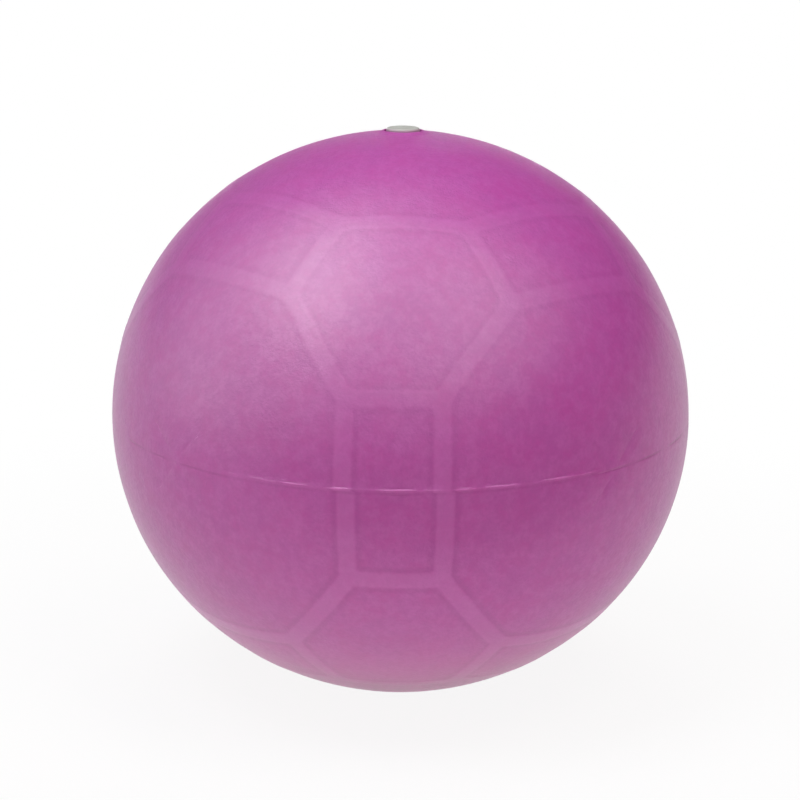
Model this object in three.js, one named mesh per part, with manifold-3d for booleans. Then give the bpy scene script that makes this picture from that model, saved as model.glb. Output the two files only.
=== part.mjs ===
// Inflatable soft play ball: a hollow vinyl wall with a net of raised bands, a valve seat and a stopper.
// Millimetres, +Z up, origin in the middle of the patch that the ball stands on.
import * as THREE from "three";
import { mergeVertices } from "three/addons/utils/BufferGeometryUtils.js";
import Module from "manifold-3d";

const wasm = await Module();
wasm.setup();

// Ball wall
const equatorRadius = 130;
const crownHeight = 127.6; // parting plane to crown
const bellyDepth = 125.9; // parting plane to the lowest point of the belly, before the floor flattens it
const footRadius = 25; // patch that the floor flattens
const wallThickness = 1.2;

// Net of raised bands: 12 oblong panels, 8 six-sided and 6 eight-sided ones
const oblongWidth = 40.5; // along the equator, between the middles of the bands
const oblongHeight = 75; // along the meridian
const bandWidth = 7;
const bandHeight = 0.2;
const bandSlope = 0.9; // width of each sloping side

// Ridge of flash at the parting line
const flashHeight = 0.6;
const flashWidth = 1.4;

// Valve
const collarHeight = 0.6; // above the crown
const collarSlope = 2.8; // width of its sloping side
const collarLand = 0.7; // width of its level top
const plugHeadRadius = 7.5;
const plugHeadHeight = 1.9; // its underside is level with the crown
const plugHeadRound = 1.4;
const plugHeadGap = 0.9; // between the head and the collar
const stemRadius = 4;
const stemLength = 17;
const stemTaper = 0.7; // how much smaller the radius is at the tip
const stemTipRound = 1.2;
const ribCount = 3;
const ribHeight = 0.4;
const ribLength = 1.6;
const firstRibDepth = 3; // below the head
const plainNose = 2; // stem below the last rib, above its round tip
const seatWall = 1.5;
const seatFlange = 1.2; // thickness of both flanges
const neckLength = 11; // below the floor of the recess
const neckWall = 2.2; // outside the recess
const innerFlangeReach = 2; // beyond the bush
const fitGap = 0.3; // between pieces that touch

// Facets
const facetLength = 18;
const flashSegments = 96;
const valveSegments = 36;
const roundSteps = 4;
const leastSteps = 2; // along an edge of a panel, and from its edge to its middle
const mergeDistance = 1e-4;

// The floor's height below the parting plane
const footDepth = bellyDepth * Math.sqrt(1 - (footRadius / equatorRadius) ** 2);

// A point of the ball, from its direction and its height above the plain surface.
function ballPoint(direction, height) {
  const side = equatorRadius + height;
  const end = (direction.z > 0 ? crownHeight : bellyDepth) + height;
  return new THREE.Vector3(direction.x * side, direction.y * side, direction.z * end);
}

// Solids

function solidFrom(geometry) {
  geometry.deleteAttribute("normal");
  geometry.deleteAttribute("uv");
  const merged = mergeVertices(geometry, mergeDistance);
  const mesh = new wasm.Mesh({
    numProp: 3,
    vertProperties: merged.attributes.position.array,
    triVerts: new Uint32Array(merged.index.array),
  });
  return new wasm.Manifold(mesh);
}

function geometryFrom(solid) {
  const mesh = solid.getMesh();
  const geometry = new THREE.BufferGeometry();
  geometry.setAttribute("position", new THREE.BufferAttribute(mesh.vertProperties, 3));
  geometry.setIndex(new THREE.BufferAttribute(mesh.triVerts, 1));
  geometry.computeVertexNormals();
  return geometry;
}

// A profile of [radius, height] points, from its lowest end to its highest, turned round the Z axis.
function turned(profile, segments) {
  const points = profile.map(([radius, height]) => new THREE.Vector2(radius, height));
  return new THREE.LatheGeometry(points, segments).rotateX(Math.PI / 2);
}

// Panel net

// The corners of the net are the 48 ways to order and sign three numbers.
function netCorners() {
  const halfWide = oblongWidth / 2 / equatorRadius;
  const halfTall = oblongHeight / 2 / equatorRadius;
  const low = Math.sin(halfTall);
  const middle = Math.cos(halfTall) * Math.cos(Math.PI / 4 + halfWide);
  const high = Math.cos(halfTall) * Math.sin(Math.PI / 4 + halfWide);
  const orders = [
    [low, middle, high],
    [low, high, middle],
    [middle, low, high],
    [middle, high, low],
    [high, low, middle],
    [high, middle, low],
  ];
  const signs = [1, -1];
  const corners = [];
  for (const [x, y, z] of orders)
    for (const sx of signs)
      for (const sy of signs) for (const sz of signs) corners.push(new THREE.Vector3(sx * x, sy * y, sz * z));
  return corners;
}

// The directions of the panels' middles: along the axes, between three of them and between two.
function panelMiddles() {
  const steps = [-1, 0, 1];
  const middles = [];
  for (const x of steps)
    for (const y of steps)
      for (const z of steps) if (x || y || z) middles.push(new THREE.Vector3(x, y, z).normalize());
  return middles;
}

// The corners nearest a panel's middle, in order round it as seen from outside.
function cornersOfPanel(middle, corners) {
  const axesUsed = [middle.x, middle.y, middle.z].filter((part) => part !== 0).length;
  const count = { 1: 8, 2: 4, 3: 6 }[axesUsed];
  const nearest = [...corners].sort((a, b) => b.dot(middle) - a.dot(middle)).slice(0, count);
  const start = nearest[0].clone().projectOnPlane(middle).normalize();
  const across = middle.clone().cross(start);
  const angle = (corner) => Math.atan2(corner.dot(across), corner.dot(start));
  return nearest.sort((a, b) => angle(a) - angle(b));
}

// A panel's edges: each has its two corners, the side that faces into the panel and a number of steps.
function panelOf(middle, corners) {
  const ring = cornersOfPanel(middle, corners);
  const edges = ring.map((from, i) => {
    const to = ring[(i + 1) % ring.length];
    const steps = Math.max(leastSteps, Math.round((from.angleTo(to) * equatorRadius) / facetLength));
    return { from, to, steps, inward: from.clone().cross(to).normalize() };
  });
  return { middle, edges };
}

// Where two edges of a panel meet once both are moved inwards by a distance over the surface.
function insetCorner(before, after, distance) {
  const lift = Math.sin(distance / equatorRadius);
  const sum = before.inward.clone().add(after.inward);
  const share = lift / (1 + before.inward.dot(after.inward));
  const inPlane = sum.multiplyScalar(share);
  const along = before.inward.clone().cross(after.inward).normalize();
  if (along.dot(after.from) < 0) along.negate();
  return inPlane.clone().addScaledVector(along, Math.sqrt(1 - inPlane.lengthSq()));
}

// One edge of a panel moved inwards, as a row of directions.
function insetEdge(panel, index, distance) {
  const { edges } = panel;
  const edge = edges[index];
  const before = edges[(index + edges.length - 1) % edges.length];
  const after = edges[(index + 1) % edges.length];
  const start = insetCorner(before, edge, distance);
  const end = insetCorner(edge, after, distance);
  const tilt = distance / equatorRadius;
  const row = [];
  for (let step = 0; step <= edge.steps; step++) {
    const point = start.clone().lerp(end, step / edge.steps).projectOnPlane(edge.inward).normalize();
    row.push(point.multiplyScalar(Math.cos(tilt)).addScaledVector(edge.inward, Math.sin(tilt)));
  }
  row[0] = start;
  row[edge.steps] = end;
  return row;
}

// The closed outline of a panel, moved inwards.
function insetLoop(panel, distance) {
  return panel.edges.flatMap((_, index) => insetEdge(panel, index, distance).slice(0, -1));
}

class Surface {
  constructor() {
    this.positions = [];
  }

  triangle(a, b, c) {
    for (const point of [a, b, c]) this.positions.push(point.x, point.y, point.z);
  }

  // A strip between two rows of points, the first on the left when looking along them from outside.
  strip(left, right) {
    for (let i = 0; i + 1 < left.length; i++) {
      this.triangle(left[i], right[i], right[i + 1]);
      this.triangle(left[i], right[i + 1], left[i + 1]);
    }
  }

  // A band between an outer loop and the loop inside it.
  ring(outer, inner) {
    this.strip([...inner, inner[0]], [...outer, outer[0]]);
  }

  fan(loop, middle) {
    loop.forEach((point, i) => this.triangle(point, loop[(i + 1) % loop.length], middle));
  }

  geometry() {
    const geometry = new THREE.BufferGeometry();
    return geometry.setAttribute("position", new THREE.Float32BufferAttribute(this.positions, 3));
  }
}

// The sunken part of a panel: the slope down from the bands and rings of facets to the middle.
function addPanel(surface, panel, height, relief) {
  const top = insetLoop(panel, bandWidth / 2 - bandSlope / 2);
  const bottom = insetLoop(panel, bandWidth / 2 + bandSlope / 2);
  const plain = (direction) => ballPoint(direction, height);
  surface.ring(
    top.map((direction) => ballPoint(direction, height + relief)),
    bottom.map(plain),
  );
  const isFoot = panel.middle.z === -1;
  const tilt = isFoot ? Math.asin(footRadius / equatorRadius) : 0;
  const goal = bottom.map((direction) => {
    const outward = direction.clone().projectOnPlane(panel.middle).normalize();
    return panel.middle.clone().multiplyScalar(Math.cos(tilt)).addScaledVector(outward, Math.sin(tilt));
  });
  const reach = Math.min(...bottom.map((direction, i) => direction.angleTo(goal[i]))) * equatorRadius;
  const rings = Math.max(leastSteps, Math.round(reach / facetLength));
  let outer = bottom.map(plain);
  const ringsKept = isFoot ? rings : rings - 1;
  for (let step = 1; step <= ringsKept; step++) {
    const inner = bottom.map((direction, i) =>
      plain(direction.clone().lerp(goal[i], step / rings).normalize()),
    );
    surface.ring(outer, inner);
    outer = inner;
  }
  const foot = new THREE.Vector3(0, 0, outer[0].z);
  surface.fan(outer, isFoot ? foot : plain(panel.middle));
}

// The raised bands: one along each edge that two panels share, and a piece where three of them meet.
function addBands(surface, panels, corners, height) {
  const inset = bandWidth / 2 - bandSlope / 2;
  const raised = (direction) => ballPoint(direction, height);
  const sides = panels.flatMap((panel) => panel.edges.map((edge, index) => ({ panel, edge, index })));
  for (const { panel, edge, index } of sides) {
    const facing = sides.find((other) => other.edge.from === edge.to && other.edge.to === edge.from);
    if (panels.indexOf(panel) > panels.indexOf(facing.panel)) continue;
    const left = insetEdge(panel, index, inset).map(raised);
    const right = insetEdge(facing.panel, facing.index, inset).map(raised).reverse();
    surface.strip(left, right);
  }
  for (const corner of corners) {
    const around = sides.filter(({ edge }) => edge.from === corner);
    const points = around.map(({ panel, index }) => insetEdge(panel, index, inset)[0]);
    const [a, b, c] = points;
    const outward = b.clone().sub(a).cross(c.clone().sub(a)).dot(corner) > 0;
    surface.triangle(...(outward ? [a, b, c] : [a, c, b]).map(raised));
  }
}

// A closed skin of the ball at a height above its plain surface, with bands in relief.
function ballSkin(height, relief) {
  const corners = netCorners();
  const panels = panelMiddles().map((middle) => panelOf(middle, corners));
  const surface = new Surface();
  for (const panel of panels) addPanel(surface, panel, height, relief);
  addBands(surface, panels, corners, height + relief);
  return surface.geometry();
}

function flashRidge() {
  const root = equatorRadius - wallThickness / 2;
  const half = flashWidth / 2;
  const crest = equatorRadius + flashHeight;
  return turned(
    [
      [root, -half],
      [crest, -half / 2],
      [crest, half / 2],
      [root, half],
      [root, -half],
    ],
    flashSegments,
  );
}

// Valve, with heights measured from the crown
const boreRadius = stemRadius + ribHeight + fitGap;
const bushRadius = boreRadius + seatWall;
const neckHoleRadius = bushRadius + fitGap;
const recessRadius = plugHeadRadius + plugHeadGap;
const collarTopRadius = recessRadius + collarLand;
const collarFootRadius = collarTopRadius + collarSlope;
const outerFlangeTop = -fitGap;
const outerFlangeBottom = outerFlangeTop - seatFlange;
const recessFloor = outerFlangeBottom - fitGap;
const neckEnd = recessFloor - neckLength;
const neckRadius = recessRadius + neckWall;
const innerFlangeTop = neckEnd - fitGap;
const innerFlangeBottom = innerFlangeTop - seatFlange;

// The collar on the outside and the neck on the inside, as one boss through the wall.
function valveBoss() {
  const crownDrop = crownHeight * (1 - Math.sqrt(1 - (collarFootRadius / equatorRadius) ** 2));
  const foot = -crownDrop - wallThickness / 2;
  return turned(
    [
      [0, neckEnd],
      [neckRadius, neckEnd],
      [neckRadius, foot],
      [collarFootRadius, foot],
      [collarFootRadius, -crownDrop],
      [collarTopRadius, collarHeight],
      [0, collarHeight],
    ],
    valveSegments,
  );
}

// The recess for the stopper's head and the hole for the bush.
function valveHole() {
  const below = neckEnd - wallThickness;
  const above = collarHeight + wallThickness;
  return turned(
    [
      [0, below],
      [neckHoleRadius, below],
      [neckHoleRadius, recessFloor],
      [recessRadius, recessFloor],
      [recessRadius, above],
      [0, above],
    ],
    valveSegments,
  );
}

// The outer skin less the air space, with the flash and the valve's collar and neck.
function ballWall() {
  const outside = solidFrom(ballSkin(0, bandHeight));
  const airSpace = solidFrom(ballSkin(-wallThickness, 0));
  const flash = solidFrom(flashRidge());
  const boss = solidFrom(valveBoss().translate(0, 0, crownHeight));
  const hole = solidFrom(valveHole().translate(0, 0, crownHeight));
  return geometryFrom(outside.subtract(airSpace).add(flash).add(boss).subtract(hole));
}

// A bush with a flange above the neck and one below it, like a grommet.
function valveSeat() {
  const outerFlangeRadius = recessRadius - fitGap;
  const innerFlangeRadius = bushRadius + innerFlangeReach;
  return turned(
    [
      [boreRadius, innerFlangeBottom],
      [innerFlangeRadius, innerFlangeBottom],
      [innerFlangeRadius, innerFlangeTop],
      [bushRadius, innerFlangeTop],
      [bushRadius, outerFlangeBottom],
      [outerFlangeRadius, outerFlangeBottom],
      [outerFlangeRadius, outerFlangeTop],
      [boreRadius, outerFlangeTop],
      [boreRadius, innerFlangeBottom],
    ],
    valveSegments,
  );
}

// A round corner of a profile, about a centre, from one angle to another.
function roundCorner(radius, height, size, from, to) {
  const points = [];
  for (let step = 0; step <= roundSteps; step++) {
    const angle = from + ((to - from) * step) / roundSteps;
    points.push([radius + size * Math.cos(angle), height + size * Math.sin(angle)]);
  }
  return points;
}

// The stopper: a round head and a tapered stem with ribs that grip the bush.
function valvePlug() {
  const ribSpan = stemLength - stemTipRound - plainNose - ribLength - firstRibDepth;
  const ribPitch = ribSpan / Math.max(1, ribCount - 1);
  const stemAt = (depth) => stemRadius - (stemTaper * depth) / stemLength;
  const tip = roundCorner(
    stemAt(stemLength) - stemTipRound,
    -stemLength + stemTipRound,
    stemTipRound,
    -Math.PI / 2,
    0,
  );
  const ribs = [];
  for (let rib = ribCount - 1; rib >= 0; rib--) {
    const depth = firstRibDepth + rib * ribPitch;
    ribs.push([stemAt(depth + ribLength), -depth - ribLength]);
    ribs.push([stemRadius + ribHeight, -depth]);
    ribs.push([stemAt(depth), -depth]);
  }
  const rim = roundCorner(
    plugHeadRadius - plugHeadRound,
    plugHeadHeight - plugHeadRound,
    plugHeadRound,
    0,
    Math.PI / 2,
  );
  const profile = [
    [0, -stemLength],
    ...tip,
    ...ribs,
    [stemRadius, 0],
    [plugHeadRadius, 0],
    ...rim,
    [0, plugHeadHeight],
  ];
  return turned(profile, valveSegments);
}

// Materials

const ballVinyl = new THREE.MeshStandardMaterial({ color: 0xa8489a, roughness: 0.5, metalness: 0 });
const seatVinyl = new THREE.MeshStandardMaterial({ color: 0x7c3a72, roughness: 0.55, metalness: 0 });
const plugPlastic = new THREE.MeshStandardMaterial({ color: 0xd4cfc6, roughness: 0.45, metalness: 0 });

function piece(name, geometry, material) {
  const mesh = new THREE.Mesh(geometry, material);
  mesh.name = name;
  return mesh;
}

const wall = piece("ball_wall", ballWall(), ballVinyl);
wall.rotation.z = Math.PI / 4; // brings an oblong panel to the front

const valve = new THREE.Group();
valve.position.z = crownHeight;
valve.add(piece("valve_seat", valveSeat(), seatVinyl), piece("valve_plug", valvePlug(), plugPlastic));

const ball = new THREE.Group();
ball.position.z = footDepth;
ball.add(wall, valve);

const part = new THREE.Group();
part.add(ball);

export default part;
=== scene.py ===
"""Looks of an inflatable soft play ball: its moulded wall, the bush of its valve and the stopper."""
import math

import bmesh
import bpy
import numpy as np
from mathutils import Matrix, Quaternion, Vector


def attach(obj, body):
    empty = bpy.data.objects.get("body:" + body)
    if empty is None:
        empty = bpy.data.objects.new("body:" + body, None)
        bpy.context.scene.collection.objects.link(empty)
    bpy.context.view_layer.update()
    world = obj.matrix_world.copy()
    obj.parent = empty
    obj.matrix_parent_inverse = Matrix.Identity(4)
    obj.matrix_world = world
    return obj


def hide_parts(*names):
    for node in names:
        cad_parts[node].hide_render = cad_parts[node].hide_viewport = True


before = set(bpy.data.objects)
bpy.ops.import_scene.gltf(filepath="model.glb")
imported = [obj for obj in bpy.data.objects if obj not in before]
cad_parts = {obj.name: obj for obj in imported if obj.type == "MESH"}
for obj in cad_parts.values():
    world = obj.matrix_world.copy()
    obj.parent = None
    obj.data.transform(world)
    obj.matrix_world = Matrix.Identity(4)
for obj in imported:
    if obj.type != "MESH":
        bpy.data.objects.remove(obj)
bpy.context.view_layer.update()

MM = 0.001

# Ball wall, as in the solids
EQUATOR_RADIUS = 130 * MM
CROWN_HEIGHT = 127.6 * MM
BELLY_DEPTH = 125.9 * MM
FOOT_RADIUS = 25 * MM
WALL = 1.2 * MM
FOOT_DEPTH = BELLY_DEPTH * math.sqrt(1 - (FOOT_RADIUS / EQUATOR_RADIUS) ** 2)
CROWN = FOOT_DEPTH + CROWN_HEIGHT

# Net of raised bands, with rings of faces by their distance from the middle of a band, and the gaps
# that the rings leave in the middle of a panel, by its number of sides
OBLONG_WIDTH = 40.5 * MM
OBLONG_HEIGHT = 75 * MM
BAND_WIDTH = 7 * MM
BAND_HEIGHT = 0.12 * MM
BAND_RINGS = (2 * MM, 3 * MM, 4.2 * MM, 5.3 * MM, 7.2 * MM)
RING_STEP = 7.2 * MM
EDGE_CUTS = 9
MIDDLE_GAPS = {4: 8 * MM, 6: 6 * MM, 8: 16 * MM}

# Flash at the parting line. Rows go by their height from the line, with the share of the flash's
# height by which they stand out. Slivers and grooves go by their angles from the front in degrees,
# with their share of the full height or depth, and come again at the back
FLASH_HEIGHT = 0.6 * MM
FLASH_ROWS = (
    (1.5 * MM, 0),
    (0.95 * MM, 0.6),
    (-0.05 * MM, 1),
    (-0.3 * MM, 0.1),
    (-0.8 * MM, -0.2),
    (-1.5 * MM, 0),
)
CREST_ROW = 2
FLASH_FRONT = 226.4  # towards the camera, before the ball is turned to its place
SLIVERS = (
    (-38, 44, 0.3),
    (-35, -28, 0.35),
    (-29, -21, 0.6),
    (-23, -15.2, 0.8),
    (-13.8, -7.8, 0.85),
    (-5.2, 4.1, 1),
    (3, 9, 0.5),
    (8.8, 15, 0.9),
    (14, 23.2, 0.85),
    (25.5, 34.5, 0.9),
    (33, 41, 0.75),
)
GROOVES = (
    (-66, -57, 0.65),
    (-55.5, -48.5, 0.6),
    (-46, -38, 0.5),
    (-39.5, -32, 0.45),
    (38.5, 48.5, 0.85),
    (48, 59, 1),
    (61, 72, 1),
    (72, 86, 0.8),
)
GROOVE_DEPTH = 0.22 * MM
COMES_AGAIN = 180
FULLNESS = 0.7  # power of the sine with which a stretch swells and ends
LEAST_FLASH = 0.01
# Painted shade in the line under the flash: its least share, and how much a groove gives
LEAST_SHADE = 0.1
GROOVE_SHADE = 2
FLASH_REACH = 12 * MM
FLASH_CUTS = 2
LEVEL = 0.01 * MM  # within which points count as level

# Sway of the flash: how often each wave comes round the ball, where it starts and its share
FLASH_SWAY = 0.38 * MM
SWAY_WAVES = ((13, 1.0, 0.45), (31, 2.4, 0.4), (67, 0.7, 0.35))

# How the photographed ball's net strays: the upper half leans to the right, the lower half is
# turned and lies lower, and the parting line rises a little at the sides
LOWER_TURN = math.radians(0.67)
UPPER_LEAN = math.radians(1.5)
LEAN_START, LEAN_FULL = math.radians(17), math.radians(34)
LEAN_FADE, LEAN_END = math.radians(62), math.radians(80)
LOWER_DROP = math.radians(2.8)
DROP_FADE, DROP_END = math.radians(45), math.radians(72)
SEAM_RISE = math.radians(1.4)
SEAM_FRONT = 0.17
RISE_END = math.radians(26)

# Valve, with radii and heights from the crown
COLLAR_START = MIDDLE_GAPS[8]
COLLAR_FOOT = 11.9 * MM
COLLAR_LAND = 9.1 * MM
COLLAR_HEIGHT = 0.6 * MM
RECESS_RADIUS = 8.4 * MM
RECESS_FLOOR = -1.8 * MM
NECK_HOLE_RADIUS = 6.5 * MM
NECK_RADIUS = 10.6 * MM
NECK_END = -12.8 * MM
NECK_ROOT = -3 * WALL
INSIDE_START = 1.2 * NECK_RADIUS
INSIDE_RINGS = 14
FOOT_SHARES = (0.96, 0.5, 0.2)
BORE_RADIUS = 4.7 * MM
BUSH_RADIUS = 6.2 * MM
OUTER_FLANGE = (8.1 * MM, -0.3 * MM, -1.5 * MM)
INNER_FLANGE = (8.2 * MM, -13.1 * MM, -14.3 * MM)
HEAD_RADIUS = 7.5 * MM
HEAD_HEIGHT = 1.9 * MM
HEAD_ROUND = 1.4 * MM
STEM_RADIUS = 4 * MM
STEM_LENGTH = 17 * MM
STEM_TAPER = 0.7 * MM
RIB_DEPTHS = (3 * MM, 6.6 * MM, 10.2 * MM)
RIB_HEIGHT = 0.4 * MM
RIB_LENGTH = 1.6 * MM
VALVE_SEGMENTS = 72
POLE_RADIUS = 0.4 * MM

# Shading: faces that meet at less than these angles, in degrees, look like one surface
WALL_SMOOTH = 24
VALVE_SMOOTH = 35

# Finish of the wall. Fades and heights go from where a finish starts to where it is full, sizes are
# how far apart blots are, and shares are how much of a colour shows
VINYL_IOR = 1.5
WALL_GLOSS = 0.65
BAND_FADE = (4.3 * MM, 2.7 * MM)
# Painted shade: a dark line along each band's edge, for the shade at the foot of its low step
SHADE_LINE_OUTSIDE = (7.2 * MM, 5 * MM)
SHADE_LINE_INSIDE = (3.2 * MM, 4.6 * MM)
CRISP_HEIGHTS = (FOOT_DEPTH - 10 * MM, FOOT_DEPTH + 50 * MM)
CRISPNESS = (1, 0.52)
# A pale veil towards the bottom and the left, partly dust and partly painted reflection of the floor
DUST_AND_REFLECTION_HEIGHTS = (106 * MM, 10 * MM)
DUST_AND_REFLECTION_SLANT = 0.25
DUST_AND_REFLECTION_SHARE = 0.17
# Painted light bounced up from the floor, stronger towards the bottom
BOUNCE_LIGHT_HEIGHTS = (60 * MM, 8 * MM)
BOUNCE_LIGHT_SHARE = 0.45
CLOUD_SIZE = 38 * MM
TINT_SIZE = 12 * MM
TINT_FADE = (0.32, 0.68)
BLOT_SIZE = 5 * MM
BLOT_FADE = (0.35, 0.7)
BLOT_SHARE = 0.7
BLOT_DEPTH = 0.14 * MM
GRAIN_SIZE = 1.5 * MM
GRAIN_FADE = (0.35, 0.7)
GRAIN_SHARE = 0.35
GRAIN_DEPTH = 0.11 * MM
GRAIN_ON_BANDS = 0.75
GRAIN_TINTS = (0.4, 0.62)
GRAIN_STRENGTHS = (0.75, 1.6)
BAND_SHARE = 0.38
SHADE_LINE_SHARE = 0.2
# Painted highlight on the flash's crest, for the light on its upturned slope
CREST_HIGHLIGHT_SHARE = 0.3
# Painted shade under the flash, for the shadow below its crest
UNDER_SHADE_SHARE = 0.3
SHINE_FADE = (0.3, 0.75)
WALL_ROUGHNESS = (0.32, 0.4)
BAND_SMOOTHER = 0.025
CREST_ROUGHER = 0.3

# Finishes of the valve
NOISE_FADE = (0.3, 0.7)
BUSH_BLOT_SIZE = 2 * MM
BUSH_BLOT_DEPTH = 0.03 * MM
BUSH_ROUGHNESS = (0.48, 0.6)
STOPPER_CLOUD_SIZE = 4 * MM
STOPPER_GRAIN_SIZE = 0.5 * MM
STOPPER_GRAIN_DEPTH = 0.015 * MM
STOPPER_ROUGHNESS = (0.38, 0.5)
# Painted pink light bounced from the wall onto the stopper's rim, and a little onto its stem
PINK_BOUNCE_HEIGHTS = (CROWN + HEAD_HEIGHT - 0.1 * MM, CROWN + 0.8 * MM)
PINK_BOUNCE_SHARE = 0.85
STEM_HEIGHTS = (CROWN - 1 * MM, CROWN)
STEM_PINK_BOUNCE = 0.15

# Stage, with angles in degrees; azimuth 180 is in front of the ball and 270 to its left
WORLD_LIGHT = 0.1
BACKDROP_TOP = (-0.02, 0.16)
BACKDROP_SIDE = (-0.5, 0.2)
LAMPS = (
    ("key_light", (240, 66), (24, 23), 6.7, (0.93, 0.98, 1.09)),
    ("right_light", (120, 66), (24, 23), 4.7, (1.03, 1.01, 0.94)),
    ("top_light", (0, 88), (21, 21), 4.25, (0.97, 0.94, 1.12)),
    ("back_light", (0, 60), (24, 23), 2.15, (1, 1, 1)),
    ("front_light", (180, 20), (42, 18), 2.0, (1.04, 1.02, 0.94)),
)
GLOSS_LIGHTS = (
    ("gloss_left", (245, 64), 37, 0.65),
    ("gloss_left_near", (233, 56), 30, 1.25),
    ("gloss_left_bright", (237, 52), 16, 2.3),
    ("gloss_left_low", (220, 40), 15, 1.65),
    ("gloss_left_back", (258, 42), 18, 0.4),
    ("gloss_top_left", (280, 70), 25, 1.2),
    ("gloss_right", (145, 49), 36, 1.75),
    ("gloss_right_side", (97, 42), 25, 0.4),
    ("gloss_side", (248, 29), 58, 1.8),
    ("gloss_side_low", (263, 8), 20, 0.7),
    ("gloss_high", (159, 61), 61, 1.05),
    ("gloss_front_low", (170, 20), 30, 0.15),
    ("gloss_back_left", (300, 25), 45, 0.25),
    ("gloss_back", (0, 12), 24, 0.37),
)
DISC_SHARES = (0.5, 0.7, 0.86)
LIGHT_DISTANCE = 3
FLOOR_RADIUS = 4
FLOOR_SEGMENTS = 64
FLOOR_COLOUR = (0.95, 0.93, 0.88, 1)
FLOOR_WHITE = 0.9
FLOOR_FRONT = (-0.3, -0.2)
FLOOR_SLANT = -0.4
SHADOW_REACH = (0.2, 0.5)

# Camera, from the outline in the photograph
VIEW_DISTANCE = 1.04
VIEW_ELEVATION = math.radians(13.9)
VIEW_AZIMUTH = math.radians(1.4)
VIEW_ROLL = math.radians(0.5)
LENS = 102.96
SENSOR_WIDTH = 36
AIM_RIGHT = -0.3 * MM
AIM_UP = 5.4 * MM


# Modelling helpers

def deselect():
    """Leaves edit mode and selects nothing."""
    if bpy.context.object and bpy.context.object.mode != "OBJECT":
        bpy.ops.object.mode_set(mode="OBJECT")
    bpy.ops.object.select_all(action="DESELECT")


def select(kind, test):
    """Selects the faces, edges or points of the mesh being edited that pass a test."""
    bpy.ops.mesh.select_mode(type={"faces": "FACE", "edges": "EDGE", "verts": "VERT"}[kind])
    bpy.ops.mesh.select_all(action="DESELECT")
    mesh = bmesh.from_edit_mesh(bpy.context.object.data)
    for element in getattr(mesh, kind):
        element.select = bool(test(element))
    mesh.select_flush_mode()
    bmesh.update_edit_mesh(bpy.context.object.data)


def grow(scale, centre=(0, 0, 0)):
    """Scales what is selected about a centre."""
    bpy.ops.transform.resize(value=scale, center_override=centre)


def turn(angle):
    """Turns what is selected about the Z axis, anticlockwise seen from above."""
    bpy.ops.transform.rotate(value=-angle, orient_axis="Z", center_override=(0, 0, 0))


def apply_modifier(piece, kind, **settings):
    modifier = piece.modifiers.new(kind.lower(), kind)
    for name, value in settings.items():
        setattr(modifier, name, value)
    bpy.ops.object.modifier_apply(modifier=modifier.name)


def rounded_outline(corners, steps=4):
    """Points (radius, height) from corners (radius, height, rounding), of which the ends are sharp."""
    places = [Vector(corner[:2]) for corner in corners]
    outline = [tuple(places[0])]
    for before, (radius, height, rounding), after in zip(places, corners[1:], places[2:]):
        place = Vector((radius, height))
        if rounding == 0:
            outline.append((radius, height))
            continue
        back = (before - place).normalized()
        ahead = (after - place).normalized()
        half = back.angle(ahead) / 2
        centre = place + (back + ahead).normalized() * rounding / math.sin(half)
        start = place + back * rounding / math.tan(half) - centre
        end = place + ahead * rounding / math.tan(half) - centre
        for step in range(steps + 1):
            outward = start.slerp(end, step / steps).normalized()
            outline.append(tuple(centre + outward * rounding))
    return outline + [tuple(places[-1])]


def extrude_rings(outline):
    """Extrudes the selected ring of edges through points (radius, height) about the Z axis."""
    for (radius, height), (next_radius, next_height) in zip(outline, outline[1:]):
        bpy.ops.mesh.extrude_edges_move(TRANSFORM_OT_translate={"value": (0, 0, next_height - height)})
        share = next_radius / radius
        grow((share, share, 1), (0, 0, next_height))


def face_outwards():
    bpy.ops.mesh.select_all(action="SELECT")
    bpy.ops.mesh.normals_make_consistent(inside=False)


def smooth(piece, degrees):
    deselect()
    piece.select_set(True)
    bpy.context.view_layer.objects.active = piece
    bpy.ops.object.shade_smooth_by_angle(angle=math.radians(degrees))


# Ball wall, modelled about the middle of its parting plane

def net_numbers():
    """The three numbers whose orders and signs are the 48 corners of the net."""
    half_wide = OBLONG_WIDTH / 2 / EQUATOR_RADIUS
    half_tall = OBLONG_HEIGHT / 2 / EQUATOR_RADIUS
    corner_turn = math.pi / 4 + half_wide
    return (
        math.sin(half_tall),
        math.cos(half_tall) * math.cos(corner_turn),
        math.cos(half_tall) * math.sin(corner_turn),
    )


def cut_block():
    """A cube cut down to the flat panels of the net: its corners, then what is left of its edges."""
    low, middle, high = net_numbers()
    bpy.ops.mesh.primitive_cube_add(size=2)
    ball = bpy.context.object
    ball.name = "ball_skin"
    bpy.ops.object.mode_set(mode="EDIT")
    bpy.ops.mesh.select_all(action="SELECT")
    bpy.ops.mesh.bevel(offset=2 - (middle + low) / high, affect="VERTICES", clamp_overlap=False)
    nearly = 0.9999

    def is_cube_edge(edge):
        middle_of_edge = (edge.verts[0].co + edge.verts[1].co) / 2
        return sum(abs(reach) > nearly for reach in middle_of_edge) == 2

    select("edges", is_cube_edge)
    bpy.ops.mesh.bevel(offset=1 - middle / high, affect="EDGES", clamp_overlap=False)
    return ball


def mark_rings(faces):
    """Marks the edges of faces as seams, by which they are found again."""
    for face in faces:
        for edge in face.edges:
            edge.seam = True


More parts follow.
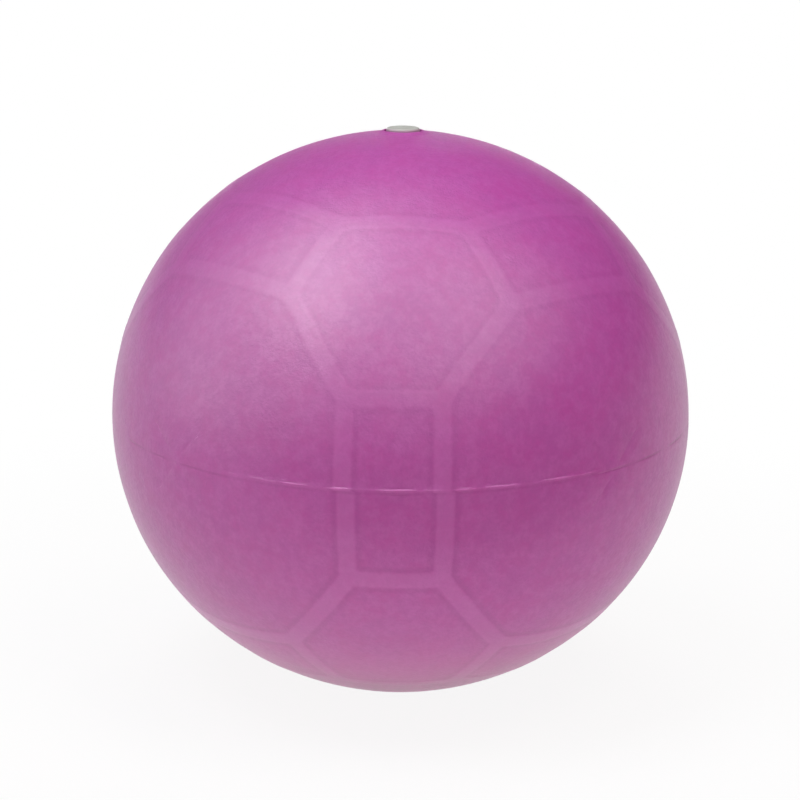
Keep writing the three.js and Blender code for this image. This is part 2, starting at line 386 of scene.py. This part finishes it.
def inset_panels(ball):
    """Insets each kind of panel ring by ring, with the rings' edges marked as seams."""
    mesh = bmesh.from_edit_mesh(ball.data)
    mark_rings(mesh.faces)
    for sides, middle_gap in MIDDLE_GAPS.items():
        select("faces", lambda face: len(face.verts) == sides)
        mesh = bmesh.from_edit_mesh(ball.data)
        panel = next(face for face in mesh.faces if face.select)
        middle = panel.calc_center_median()
        reaches = [((e.verts[0].co + e.verts[1].co) / 2 - middle).length for e in panel.edges]
        edge_angle = math.atan2(sum(reaches) / sides, middle.length)
        nearest_edge = math.atan2(min(reaches), middle.length) * EQUATOR_RADIUS
        span = nearest_edge - middle_gap - BAND_RINGS[-1]
        steps = max(1, round(span / RING_STEP))
        inner = [BAND_RINGS[-1] + span * step / steps for step in range(1, steps + 1)]
        rings = [0, *BAND_RINGS, *inner]
        flat = [middle.length * math.tan(edge_angle - ring / EQUATOR_RADIUS) for ring in rings]
        for before, after in zip(flat, flat[1:]):
            bpy.ops.mesh.inset(thickness=before - after, use_individual=True)
            mesh = bmesh.from_edit_mesh(ball.data)
            mark_rings(face for face in mesh.faces if face.select)


def net_edges(ball):
    """The ends of the net's edges, as directions."""
    mesh = bmesh.from_edit_mesh(ball.data)
    return [[np.array(point.co.normalized()) for point in edge.verts] for edge in mesh.edges]


def points_of(piece):
    flat = np.zeros(len(piece.data.vertices) * 3, np.float32)
    piece.data.vertices.foreach_get("co", flat)
    return flat.reshape(-1, 3).astype(float)


def distance_from_net(points, edges):
    """How far over the round surface each point lies from the middle of the nearest band."""
    directions = points / np.linalg.norm(points, axis=1, keepdims=True)
    nearest = np.full(len(points), math.pi)
    for start, end in edges:
        across = np.cross(start, end)
        across /= np.linalg.norm(across)
        beside = np.cross(start, directions) @ across >= 0
        beside &= np.cross(directions, end) @ across >= 0
        to_line = np.abs(np.arcsin(np.clip(directions @ across, -1, 1)))
        to_ends = np.arccos(np.clip(np.maximum(directions @ start, directions @ end), -1, 1))
        nearest = np.minimum(nearest, np.where(beside, to_line, to_ends))
    return nearest * EQUATOR_RADIUS


def raise_bands(ball, edges):
    """Raises the points that lie on a band."""
    from_band = distance_from_net(points_of(ball), edges)
    ball.data.vertices.foreach_set("select", from_band < BAND_WIDTH / 2)
    bpy.ops.object.mode_set(mode="EDIT")
    bpy.ops.mesh.select_mode(type="VERT")
    raised = 1 + BAND_HEIGHT / EQUATOR_RADIUS
    grow((raised, raised, raised))


def sag():
    """Flattens the round ball a little, more below than above, and levels its foot."""
    select("verts", lambda point: point.co.z > 0)
    grow((1, 1, CROWN_HEIGHT / EQUATOR_RADIUS))
    select("verts", lambda point: point.co.z < 0)
    grow((1, 1, BELLY_DEPTH / EQUATOR_RADIUS))
    select("verts", lambda point: point.co.z < -FOOT_DEPTH)
    grow((1, 1, 0), (0, 0, -FOOT_DEPTH))


def valve_outline():
    """From the skin over the collar and down the neck to the inside of the wall."""
    skin = CROWN_HEIGHT * math.sqrt(1 - (COLLAR_START / EQUATOR_RADIUS) ** 2)
    foot = CROWN_HEIGHT * math.sqrt(1 - (COLLAR_FOOT / EQUATOR_RADIUS) ** 2)
    edge, lip, soft = 0.25 * MM, 0.4 * MM, 1.2 * MM
    top = CROWN_HEIGHT
    return rounded_outline(
        [
            (COLLAR_START, skin),
            (COLLAR_FOOT, foot, soft),
            (COLLAR_LAND, top + COLLAR_HEIGHT, lip),
            (RECESS_RADIUS, top + COLLAR_HEIGHT, lip),
            (RECESS_RADIUS, top + RECESS_FLOOR, edge),
            (NECK_HOLE_RADIUS, top + RECESS_FLOOR, edge),
            (NECK_HOLE_RADIUS, top + NECK_END, edge),
            (NECK_RADIUS, top + NECK_END, edge),
            (NECK_RADIUS, top + NECK_ROOT),
        ]
    )


def inside_outline():
    """The inside of the wall, from the neck to the floor."""
    side = EQUATOR_RADIUS - WALL
    outline = []
    for deep, start, end in (
        (CROWN_HEIGHT - WALL, math.asin(INSIDE_START / side), math.pi / 2),
        (BELLY_DEPTH - WALL, math.pi / 2, math.pi - math.asin(FOOT_RADIUS / side)),
    ):
        for step in range(INSIDE_RINGS):
            angle = start + (end - start) * step / (INSIDE_RINGS - 1)
            outline.append((side * math.sin(angle), deep * math.cos(angle)))
    floor = outline[-1][1]
    del outline[INSIDE_RINGS]
    return outline + [(FOOT_RADIUS * share, floor) for share in FOOT_SHARES]


def open_crown(ball):
    """Opens the top panel and carries its rim over the collar, down the neck and round the inside."""
    outline = valve_outline() + inside_outline()
    select("faces", lambda face: len(face.verts) > max(MIDDLE_GAPS))
    bpy.ops.mesh.delete(type="FACE")
    radius, height = outline[0]
    mesh = bmesh.from_edit_mesh(ball.data)
    for point in mesh.verts:
        if point.is_boundary:
            outward = Vector((point.co.x, point.co.y, 0)).normalized()
            point.co = outward * radius + Vector((0, 0, height))
    select("edges", lambda edge: edge.is_boundary)
    extrude_rings(outline)
    bpy.ops.mesh.edge_face_add()
    bpy.ops.mesh.poke()
    face_outwards()


def on_outside(place):
    """Whether a place near the parting line is on the outside of the wall."""
    return Vector(place[:2]).length > EQUATOR_RADIUS - WALL / 2


def cut_flash_rows():
    """Cuts rows of edges beside the parting line, with more points along them."""

    def near_the_line(face):
        place = face.verts[0].co
        return on_outside(place) and abs(place.z) < FLASH_REACH

    for height, _ in FLASH_ROWS:
        select("faces", near_the_line)
        bpy.ops.mesh.bisect(plane_co=(0, 0, height), plane_no=(0, 0, 1))

    def in_a_row(edge):
        ends = [point.co.z for point in edge.verts]
        rows = any(max(abs(end - height) for end in ends) < LEVEL for height, _ in FLASH_ROWS)
        return rows and on_outside(edge.verts[0].co)

    select("edges", in_a_row)
    bpy.ops.mesh.subdivide(number_cuts=FLASH_CUTS)


def along_parting(angle, stretches):
    """How high or deep the stretches are at an angle, as a share."""
    share = 0
    for start, end, height in stretches:
        along = (math.degrees(angle) - FLASH_FRONT - start) % COMES_AGAIN / (end - start)
        if along < 1:
            share = max(share, height * math.sin(math.pi * along) ** FULLNESS)
    return share


def flash_height(angle):
    """Share of the flash's height, in slivers that come and go along the parting line."""
    return max(LEAST_FLASH, along_parting(angle, SLIVERS))


def groove_depth(angle):
    """Share of the depth of the grooves, which lie under the line and carry it on to the sides."""
    return along_parting(angle, GROOVES)


def flash_sway(angle):
    """How far the flash strays above or below the parting line, as a share."""
    return sum(size * math.sin(count * angle + start) for count, start, size in SWAY_WAVES)


def turn_lower_half():
    """Turns the lower half a little, as its half of the mould sat, and closes the wall again."""
    crest, under = FLASH_ROWS[CREST_ROW][0], FLASH_ROWS[CREST_ROW + 1][0]

    def between(face):
        heights = [point.co.z for point in face.verts]
        level = max(heights) < crest + LEVEL and min(heights) > under - LEVEL
        return level and on_outside(face.verts[0].co)

    select("faces", between)
    bpy.ops.mesh.delete(type="ONLY_FACE")
    select("edges", lambda edge: edge.is_wire)
    bpy.ops.mesh.delete(type="EDGE")
    select("verts", lambda point: point.co.z < (crest + under) / 2)
    turn(LOWER_TURN)
    select("edges", lambda edge: edge.is_boundary)
    bpy.ops.mesh.bridge_edge_loops()
    face_outwards()


def raise_flash(ball):
    """Raises the slivers of the flash on its rows, and sinks the grooves."""
    mesh = bmesh.from_edit_mesh(ball.data)
    for point in mesh.verts:
        rows = [share for height, share in FLASH_ROWS if abs(point.co.z - height) < LEVEL]
        if rows and on_outside(point.co):
            angle = math.atan2(point.co.y, point.co.x)
            outward = Vector((point.co.x, point.co.y, 0)).normalized()
            stand_out = FLASH_HEIGHT * flash_height(angle) * rows[0]
            if rows[0] < 0:
                stand_out -= GROOVE_DEPTH * groove_depth(angle)
            sway = FLASH_SWAY * flash_sway(angle) * max(0, rows[0])
            point.co += outward * stand_out + Vector((0, 0, sway))
    bmesh.update_edit_mesh(ball.data)


def store_flash(ball):
    """Keeps how much of a sliver's crest each point of the wall is, and how much painted shade the line
    under the flash gets.
    """
    crest = ball.data.attributes.new("flash_crest", "FLOAT", "POINT")
    under = ball.data.attributes.new("flash_under_shade", "FLOAT", "POINT")
    for index, point in enumerate(ball.data.vertices):
        rows = [row for row, (height, _) in enumerate(FLASH_ROWS) if abs(point.co.z - height) < LEVEL]
        if rows and on_outside(point.co):
            angle = math.atan2(point.co.y, point.co.x)
            share = flash_height(angle)
            shade = max(LEAST_SHADE + (1 - LEAST_SHADE) * share, GROOVE_SHADE * groove_depth(angle))
            crest.data[index].value = share if rows[0] in (CREST_ROW - 1, CREST_ROW) else 0
            under.data[index].value = shade if rows[0] in (CREST_ROW + 1, CREST_ROW + 2) else 0


def fade(value, start, end):
    """From 0 to 1 as a value goes from start to end, smoothly."""
    share = min(1, max(0, (value - start) / (end - start)))
    return share * share * (3 - 2 * share)


def stray_net(ball):
    """Slides the wall over the ball's round form, as far as the net strays on the photographed ball."""
    mesh = bmesh.from_edit_mesh(ball.data)
    for point in mesh.verts:
        deep = (CROWN_HEIGHT if point.co.z > 0 else BELLY_DEPTH) / EQUATOR_RADIUS
        place = Vector((point.co.x, point.co.y, point.co.z / deep))
        latitude = math.atan2(place.z, place.xy.length)
        if latitude > 0:
            share = fade(latitude, LEAN_START, LEAN_FULL) * fade(latitude, LEAN_END, LEAN_FADE)
            turned = Quaternion((0, 1, 0), UPPER_LEAN * share) @ place
        else:
            share = math.sin(-2 * latitude) * fade(-latitude, DROP_END, DROP_FADE)
            sideways = Vector((-place.y, place.x, 0)).normalized()
            turned = Quaternion(sideways, LOWER_DROP * share) @ place
        beside = (turned.x / max(LEVEL, turned.xy.length)) ** 2 - SEAM_FRONT
        rise = SEAM_RISE * beside * fade(abs(latitude), RISE_END, 0)
        turned = Quaternion(Vector((turned.y, -turned.x, 0)).normalized(), rise) @ turned
        point.co = (turned.x, turned.y, turned.z * deep)
    bmesh.update_edit_mesh(ball.data)


def ball_skin():
    """The moulded wall: a block cut to the net's panels, made round, and opened at the crown."""
    facing_up = 0.9
    deselect()
    ball = cut_block()
    edges = net_edges(ball)
    inset_panels(ball)
    select("edges", lambda edge: edge.seam)
    bpy.ops.mesh.subdivide(number_cuts=EDGE_CUTS)
    bpy.ops.mesh.mark_seam(clear=True)
    select("faces", lambda face: len(face.verts) > 4 and face.normal.z < facing_up)
    bpy.ops.mesh.poke()
    bpy.ops.object.mode_set(mode="OBJECT")
    apply_modifier(
        ball,
        "CAST",
        cast_type="SPHERE",
        radius=0,
        size=EQUATOR_RADIUS,
        factor=1,
        use_radius_as_size=False,
    )
    raise_bands(ball, edges)
    sag()
    open_crown(ball)
    bpy.ops.object.mode_set(mode="OBJECT")
    apply_modifier(ball, "SUBSURF", levels=1, render_levels=1)
    bpy.ops.object.mode_set(mode="EDIT")
    cut_flash_rows()
    bpy.ops.object.mode_set(mode="OBJECT")
    points = points_of(ball)
    points[:, 2] *= EQUATOR_RADIUS / np.where(points[:, 2] > 0, CROWN_HEIGHT, BELLY_DEPTH)
    from_band = ball.data.attributes.new("from_band", "FLOAT", "POINT")
    from_band.data.foreach_set("value", distance_from_net(points, edges).astype(np.float32))
    store_flash(ball)
    bpy.ops.object.mode_set(mode="EDIT")
    turn_lower_half()
    raise_flash(ball)
    bpy.ops.mesh.select_all(action="SELECT")
    turn(math.pi / 4)
    stray_net(ball)
    bpy.ops.mesh.select_all(action="SELECT")
    bpy.ops.transform.translate(value=(0, 0, FOOT_DEPTH))
    bpy.ops.object.mode_set(mode="OBJECT")
    smooth(ball, WALL_SMOOTH)
    return ball


# Valve, modelled at its place on the crown

def turned_piece(name, outline):
    """A piece turned about the Z axis. Its outline has heights from the crown, and is closed or capped."""
    deselect()
    bpy.ops.mesh.primitive_circle_add(vertices=VALVE_SEGMENTS, radius=outline[0][0])
    piece = bpy.context.object
    piece.name = name
    bpy.ops.object.mode_set(mode="EDIT")
    bpy.ops.mesh.select_all(action="SELECT")
    bpy.ops.transform.translate(value=(0, 0, outline[0][1]))
    extrude_rings(outline)
    bpy.ops.mesh.select_all(action="SELECT")
    bpy.ops.mesh.remove_doubles(threshold=LEVEL / 2)
    select("edges", lambda edge: edge.is_boundary)
    bpy.ops.mesh.edge_face_add()
    bpy.ops.mesh.select_all(action="DESELECT")
    select("faces", lambda face: len(face.verts) > 4)
    bpy.ops.mesh.poke()
    face_outwards()
    bpy.ops.transform.translate(value=(0, 0, CROWN))
    bpy.ops.object.mode_set(mode="OBJECT")
    return piece


def valve_bush():
    """The flanged bush that grips the stopper."""
    edge = 0.3 * MM
    outer_reach, outer_top, outer_bottom = OUTER_FLANGE
    inner_reach, inner_top, inner_bottom = INNER_FLANGE
    half_way = (outer_top + inner_bottom) / 2
    bush = turned_piece(
        "valve_bush",
        rounded_outline(
            [
                (BORE_RADIUS, half_way),
                (BORE_RADIUS, outer_top, edge),
                (outer_reach, outer_top, edge),
                (outer_reach, outer_bottom, edge),
                (BUSH_RADIUS, outer_bottom, edge),
                (BUSH_RADIUS, inner_top, edge),
                (inner_reach, inner_top, edge),
                (inner_reach, inner_bottom, edge),
                (BORE_RADIUS, inner_bottom, edge),
                (BORE_RADIUS, half_way),
            ]
        ),
    )
    smooth(bush, VALVE_SMOOTH)
    return bush


def stem_radius(depth):
    return STEM_RADIUS - STEM_TAPER * depth / STEM_LENGTH


def stopper():
    """A round head on a tapered stem with ribs."""
    edge, soft = 0.15 * MM, 0.5 * MM
    corners = [
        (POLE_RADIUS, HEAD_HEIGHT),
        (HEAD_RADIUS, HEAD_HEIGHT, HEAD_ROUND),
        (HEAD_RADIUS, 0, 2 * edge),
        (STEM_RADIUS, 0, 2 * edge),
    ]
    for depth in RIB_DEPTHS:
        corners += [
            (stem_radius(depth), -depth, edge),
            (STEM_RADIUS + RIB_HEIGHT, -depth, edge),
            (stem_radius(depth + RIB_LENGTH), -depth - RIB_LENGTH, edge),
        ]
    corners += [(stem_radius(STEM_LENGTH), -STEM_LENGTH, 2 * soft), (POLE_RADIUS, -STEM_LENGTH)]
    plug = turned_piece("stopper", rounded_outline(corners, 6))
    smooth(plug, VALVE_SMOOTH)
    return plug


# Finishes

class Nodes:
    """The nodes of a material or the world, by the few kinds that are used here."""

    def __init__(self, tree):
        self.tree = tree

    def node(self, kind, inputs, **settings):
        node = self.tree.nodes.new(kind)
        for name, value in settings.items():
            setattr(node, name, value)
        for socket, value in inputs.items():
            self.join(value, node.inputs[socket])
        return node

    def join(self, value, socket):
        if isinstance(value, bpy.types.NodeSocket):
            self.tree.links.new(value, socket)
        else:
            socket.default_value = value

    def maths(self, operation, first, second):
        return self.node("ShaderNodeMath", {0: first, 1: second}, operation=operation).outputs[0]

    def times(self, first, *others):
        """The product of several values."""
        for other in others:
            first = self.maths("MULTIPLY", first, other)
        return first

    def ramp(self, value, start, end, low=0, high=1):
        """From low to high as a value goes from start to end, smoothly."""
        inputs = {"Value": value, "From Min": start, "From Max": end, "To Min": low, "To Max": high}
        node = self.node("ShaderNodeMapRange", inputs, interpolation_type="SMOOTHSTEP")
        return node.outputs["Result"]

    def between(self, share, low, high):
        """From low to high as a share goes from 0 to 1, evenly."""
        inputs = {"Value": share, "To Min": low, "To Max": high}
        return self.node("ShaderNodeMapRange", inputs).outputs["Result"]

    def along(self, axis, place):
        return self.node("ShaderNodeSeparateXYZ", {0: place}).outputs[axis]


class Finish(Nodes):
    """A material under way."""

    def __init__(self, name, **sockets):
        self.material = bpy.data.materials.new(name)
        self.material.use_nodes = True
        super().__init__(self.material.node_tree)
        self.shader = self.tree.nodes["Principled BSDF"]
        for socket, value in sockets.items():
            self.shader.inputs[socket.replace("_", " ")].default_value = value
        self.place = self.tree.nodes.new("ShaderNodeTexCoord").outputs["Object"]

    def noise(self, size, detail=2, roughness=0.5):
        """Noise from 0 to 1, whose blots are about as far apart as the size."""
        inputs = {"Vector": self.place, "Scale": 1 / size, "Detail": detail, "Roughness": roughness}
        return self.node("ShaderNodeTexNoise", inputs).outputs["Fac"]

    def attribute(self, name):
        return self.node("ShaderNodeAttribute", {}, attribute_name=name).outputs["Fac"]

    def mix(self, share, first, second):
        inputs = {0: share, 6: first, 7: second}
        return self.node("ShaderNodeMix", inputs, data_type="RGBA").outputs[2]

    def bump(self, height, depth, below=None):
        inputs = {"Height": height, "Distance": depth, "Strength": 1}
        if below is not None:
            inputs["Normal"] = below
        return self.node("ShaderNodeBump", inputs).outputs["Normal"]

    def finish(self, **sockets):
        for socket, value in sockets.items():
            self.join(value, self.shader.inputs[socket.replace("_", " ")])
        return self.material


def colour(red, green, blue):
    """A colour from its levels in a picture, from 0 to 255."""
    levels = [level / 255 for level in (red, green, blue)]
    return (*[l / 12.92 if l < 0.04045 else ((l + 0.055) / 1.055) ** 2.4 for l in levels], 1)


def ball_vinyl():
    """Satin vinyl: finely grained panels, and paler and smoother bands edged by a line of painted shade.
    The flash's crest has a painted highlight and the line under it has painted shade. Light bounced from
    the floor is painted on the bottom, with a pale veil that is partly dust and partly painted reflection
    of the floor.
    """
    finish = Finish("ball_vinyl", IOR=VINYL_IOR, Specular_IOR_Level=WALL_GLOSS)
    from_band = finish.attribute("from_band")
    band = finish.ramp(from_band, *BAND_FADE)
    # Painted shade along the bands' edges
    line = finish.times(finish.ramp(from_band, *SHADE_LINE_OUTSIDE), finish.ramp(from_band, *SHADE_LINE_INSIDE))
    crest = finish.attribute("flash_crest")
    under = finish.attribute("flash_under_shade")
    height = finish.along("Z", finish.place)
    crispness = finish.ramp(height, *CRISP_HEIGHTS, *CRISPNESS)
    slant = finish.times(finish.along("X", finish.place), DUST_AND_REFLECTION_SLANT)
    # Pale veil, partly dust and partly painted reflection of the floor
    dust_and_reflection = finish.ramp(finish.maths("ADD", height, slant), *DUST_AND_REFLECTION_HEIGHTS, 0, DUST_AND_REFLECTION_SHARE)
    # Painted floor bounce light, stronger towards the bottom
    floor_bounce_light = finish.ramp(height, *BOUNCE_LIGHT_HEIGHTS, 0, BOUNCE_LIGHT_SHARE)
    clouds = finish.noise(CLOUD_SIZE, detail=3)
    tints = finish.noise(TINT_SIZE, detail=3, roughness=0.6)
    blots = finish.noise(BLOT_SIZE, detail=3, roughness=0.6)
    grain = finish.noise(GRAIN_SIZE, detail=3, roughness=0.65)
    redder = finish.mix(clouds, colour(188, 67, 159), colour(196, 75, 165))
    bluer = finish.mix(clouds, colour(184, 73, 162), colour(192, 81, 168))
    body = finish.mix(finish.ramp(tints, *TINT_FADE), redder, bluer)
    for share, over in (
        (finish.ramp(blots, *BLOT_FADE, 0, BLOT_SHARE), colour(198, 90, 175)),
        (finish.ramp(grain, *GRAIN_FADE, 0, GRAIN_SHARE), colour(176, 66, 152)),
        (finish.times(band, crispness, BAND_SHARE), colour(204, 104, 182)),
        # painted shade along the bands' edges
        (finish.times(line, crispness, SHADE_LINE_SHARE), colour(150, 50, 128)),
        # pale veil: partly dust, partly painted reflection of the floor
        (dust_and_reflection, colour(222, 190, 208)),
        # painted floor bounce light towards the bottom
        (floor_bounce_light, colour(242, 130, 200)),
        # painted highlight on the flash's crest
        (finish.times(crest, CREST_HIGHLIGHT_SHARE), colour(232, 104, 200)),
        # painted shade under the flash
        (finish.times(under, UNDER_SHADE_SHARE), colour(154, 28, 124)),
    ):
        body = finish.mix(share, body, over)
    shine = finish.ramp(grain, *SHINE_FADE, *WALL_ROUGHNESS)
    shine = finish.maths("SUBTRACT", shine, finish.times(band, BAND_SMOOTHER))
    shine = finish.maths("ADD", shine, finish.times(crest, CREST_ROUGHER))
    relief = finish.times(
        finish.maths("SUBTRACT", grain, 0.5),
        finish.ramp(band, 0, 1, 1, GRAIN_ON_BANDS),
        finish.ramp(tints, *GRAIN_TINTS, *GRAIN_STRENGTHS),
    )
    normal = finish.bump(blots, BLOT_DEPTH)
    normal = finish.bump(relief, GRAIN_DEPTH, normal)
    return finish.finish(Base_Color=body, Roughness=shine, Normal=normal)


def bush_vinyl():
    """The plain dark vinyl of the bush."""
    finish = Finish("bush_vinyl", IOR=VINYL_IOR)
    blots = finish.noise(BUSH_BLOT_SIZE, detail=3)
    body = finish.mix(blots, colour(118, 54, 108), colour(136, 66, 124))
    shine = finish.ramp(blots, *NOISE_FADE, *BUSH_ROUGHNESS)
    normal = finish.bump(blots, BUSH_BLOT_DEPTH)
    return finish.finish(Base_Color=body, Roughness=shine, Normal=normal)


def stopper_plastic():
    """Pale plastic with a faint moulded grain, and painted pink light bounced from the wall onto its rim.
    """
    finish = Finish("stopper_plastic", IOR=VINYL_IOR)
    clouds = finish.noise(STOPPER_CLOUD_SIZE)
    grain = finish.noise(STOPPER_GRAIN_SIZE)
    body = finish.mix(clouds, colour(184, 184, 174), colour(196, 196, 186))
    height = finish.along("Z", finish.place)
    # Painted pink bounce light from the wall, on the rim of the head
    pink_bounce = finish.ramp(height, *PINK_BOUNCE_HEIGHTS, 0, PINK_BOUNCE_SHARE)
    on_head = finish.ramp(height, *STEM_HEIGHTS, STEM_PINK_BOUNCE, 1)
    # Painted pink bounce light from the wall
    body = finish.mix(finish.times(pink_bounce, on_head), body, colour(188, 134, 168))
    shine = finish.ramp(grain, *NOISE_FADE, *STOPPER_ROUGHNESS)
    normal = finish.bump(grain, STOPPER_GRAIN_DEPTH)
    return finish.finish(Base_Color=body, Roughness=shine, Normal=normal)


# Stage

def seen_in_gloss(path):
    """The kinds of ray that see the stage in the ball's gloss."""
    return [path["Is Glossy Ray"], path["Is Transmission Ray"]]


def studio_world():
    """White to the camera. In the gloss, a white backdrop stands behind the ball."""
    world = bpy.data.worlds.new("studio")
    world.use_nodes = True
    world.cycles.sampling_method = "NONE"
    nodes = Nodes(world.node_tree)
    direction = nodes.node("ShaderNodeTexCoord", {}).outputs["Generated"]
    parts = nodes.node("ShaderNodeSeparateXYZ", {0: direction}).outputs
    backdrop = nodes.times(
        nodes.ramp(parts["Z"], *BACKDROP_TOP, 1 - WORLD_LIGHT, 0),
        nodes.ramp(parts["Y"], *BACKDROP_SIDE),
    )
    gloss = nodes.maths("ADD", backdrop, WORLD_LIGHT)
    path = nodes.node("ShaderNodeLightPath", {}).outputs
    in_gloss = nodes.maths("MAXIMUM", *seen_in_gloss(path))
    strength = nodes.between(in_gloss, WORLD_LIGHT, gloss)
    strength = nodes.between(path["Is Camera Ray"], strength, 1)
    background = world.node_tree.nodes["Background"]
    background.inputs["Color"].default_value = (1, 1, 1, 1)
    nodes.join(strength, background.inputs["Strength"])
    bpy.context.scene.world = world


def studio_floor():
    """A pale floor that keeps the ball's shadow and is lost in the white background further out.

    In the gloss it is dark in front of the ball and to the right.
    """
    deselect()
    bpy.ops.mesh.primitive_circle_add(vertices=FLOOR_SEGMENTS, radius=FLOOR_RADIUS, fill_type="NGON")
    floor = bpy.context.object
    floor.name = "floor"
    material = bpy.data.materials.new("pale_floor")
    material.use_nodes = True
    material.cycles.emission_sampling = "NONE"
    material.node_tree.nodes.clear()
    nodes = Nodes(material.node_tree)
    place = nodes.node("ShaderNodeTexCoord", {}).outputs["Object"]
    reach = nodes.node("ShaderNodeVectorMath", {0: place}, operation="LENGTH").outputs["Value"]
    slant = nodes.times(nodes.along("X", place), FLOOR_SLANT)
    forward = nodes.maths("ADD", nodes.along("Y", place), slant)
    path = nodes.node("ShaderNodeLightPath", {}).outputs
    behind = nodes.ramp(forward, *FLOOR_FRONT, WORLD_LIGHT, 1)
    in_sight = nodes.maths("MAXIMUM", path["Is Camera Ray"], behind)
    paint = nodes.node("ShaderNodeBsdfDiffuse", {"Color": FLOOR_COLOUR}).outputs[0]
    white = nodes.node("ShaderNodeEmission", {"Strength": in_sight}).outputs[0]
    seen = nodes.maths("MAXIMUM", path["Is Camera Ray"], nodes.maths("MAXIMUM", *seen_in_gloss(path)))
    share = nodes.times(seen, nodes.ramp(reach, *SHADOW_REACH, FLOOR_WHITE, 1))
    mixed = nodes.node("ShaderNodeMixShader", {0: share, 1: paint, 2: white}).outputs[0]
    nodes.node("ShaderNodeOutputMaterial", {"Surface": mixed})
    floor.data.materials.append(material)


def towards(azimuth, elevation):
    """The direction from the ball to a light, from angles in degrees."""
    turned, raised = math.radians(azimuth), math.radians(elevation)
    level = math.cos(raised)
    return Vector((math.sin(turned) * level, math.cos(turned) * level, math.sin(raised)))


def aim(thing, place, target):
    """Puts a lamp or camera at a place, facing a target."""
    thing.location = place
    thing.rotation_euler = (Vector(target) - Vector(place)).to_track_quat("-Z", "Y").to_euler()


def lamp_at(name, place, shape, size, brightness):
    """A soft lamp that faces the ball, of a size in degrees."""
    light = bpy.data.lights.new(name, "AREA")
    light.shape = shape
    sides = [2 * LIGHT_DISTANCE * math.tan(math.radians(angle / 2)) for angle in size]
    light.size, light.size_y = sides
    area = light.size * light.size_y * (math.pi / 4 if shape == "DISK" else 1)
    light.energy = math.pi * brightness * area
    lamp = bpy.data.objects.new(name, light)
    bpy.context.scene.collection.objects.link(lamp)
    lamp.visible_camera = False
    centre = Vector((0, 0, FOOT_DEPTH))
    aim(lamp, centre + towards(*place) * LIGHT_DISTANCE, centre)
    return lamp


def softbox(name, place, size, brightness, tint):
    """A lamp that lights the ball and doesn't show in its gloss."""
    lamp = lamp_at(name, place, "RECTANGLE", size, brightness)
    lamp.data.color = tint
    lamp.visible_glossy = False


def gloss_light(name, place, reach, brightness):
    """A round light that only shows in the gloss, of a few discs so that it fades towards its edge."""
    for share in DISC_SHARES:
        across = 2 * share * reach
        lamp = lamp_at(name, place, "DISK", (across, across), brightness / len(DISC_SHARES))
        lamp.visible_diffuse = False
        lamp.data.cycles.use_multiple_importance_sampling = False


def photo_camera():
    """A camera at the photograph's viewing angle."""
    camera = bpy.data.objects.new("camera", bpy.data.cameras.new("camera"))
    bpy.context.scene.collection.objects.link(camera)
    centre = Vector((0, 0, FOOT_DEPTH))
    back = Vector(
        (
            math.sin(VIEW_AZIMUTH) * math.cos(VIEW_ELEVATION),
            -math.cos(VIEW_AZIMUTH) * math.cos(VIEW_ELEVATION),
            math.sin(VIEW_ELEVATION),
        )
    )
    right = Vector((math.cos(VIEW_AZIMUTH), math.sin(VIEW_AZIMUTH), 0))
    up = back.cross(right)
    shift = right * AIM_RIGHT + up * AIM_UP
    aim(camera, centre + back * VIEW_DISTANCE + shift, centre + shift)
    camera.rotation_euler.rotate_axis("Z", VIEW_ROLL)
    camera.data.sensor_width = SENSOR_WIDTH
    camera.data.lens = LENS
    bpy.context.scene.camera = camera


def dress(piece, material, body, node):
    """Gives a piece its finish, and its place in the part."""
    piece.data.materials.append(material)
    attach(piece, body)
    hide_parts(node)


dress(ball_skin(), ball_vinyl(), "ball", "ball_wall")
dress(valve_bush(), bush_vinyl(), "ball", "valve_seat")
dress(stopper(), stopper_plastic(), "plug", "valve_plug")

studio_world()
studio_floor()
for lamp in LAMPS:
    softbox(*lamp)
for light in GLOSS_LIGHTS:
    gloss_light(*light)
photo_camera()
bpy.context.scene.view_settings.view_transform = "Standard"
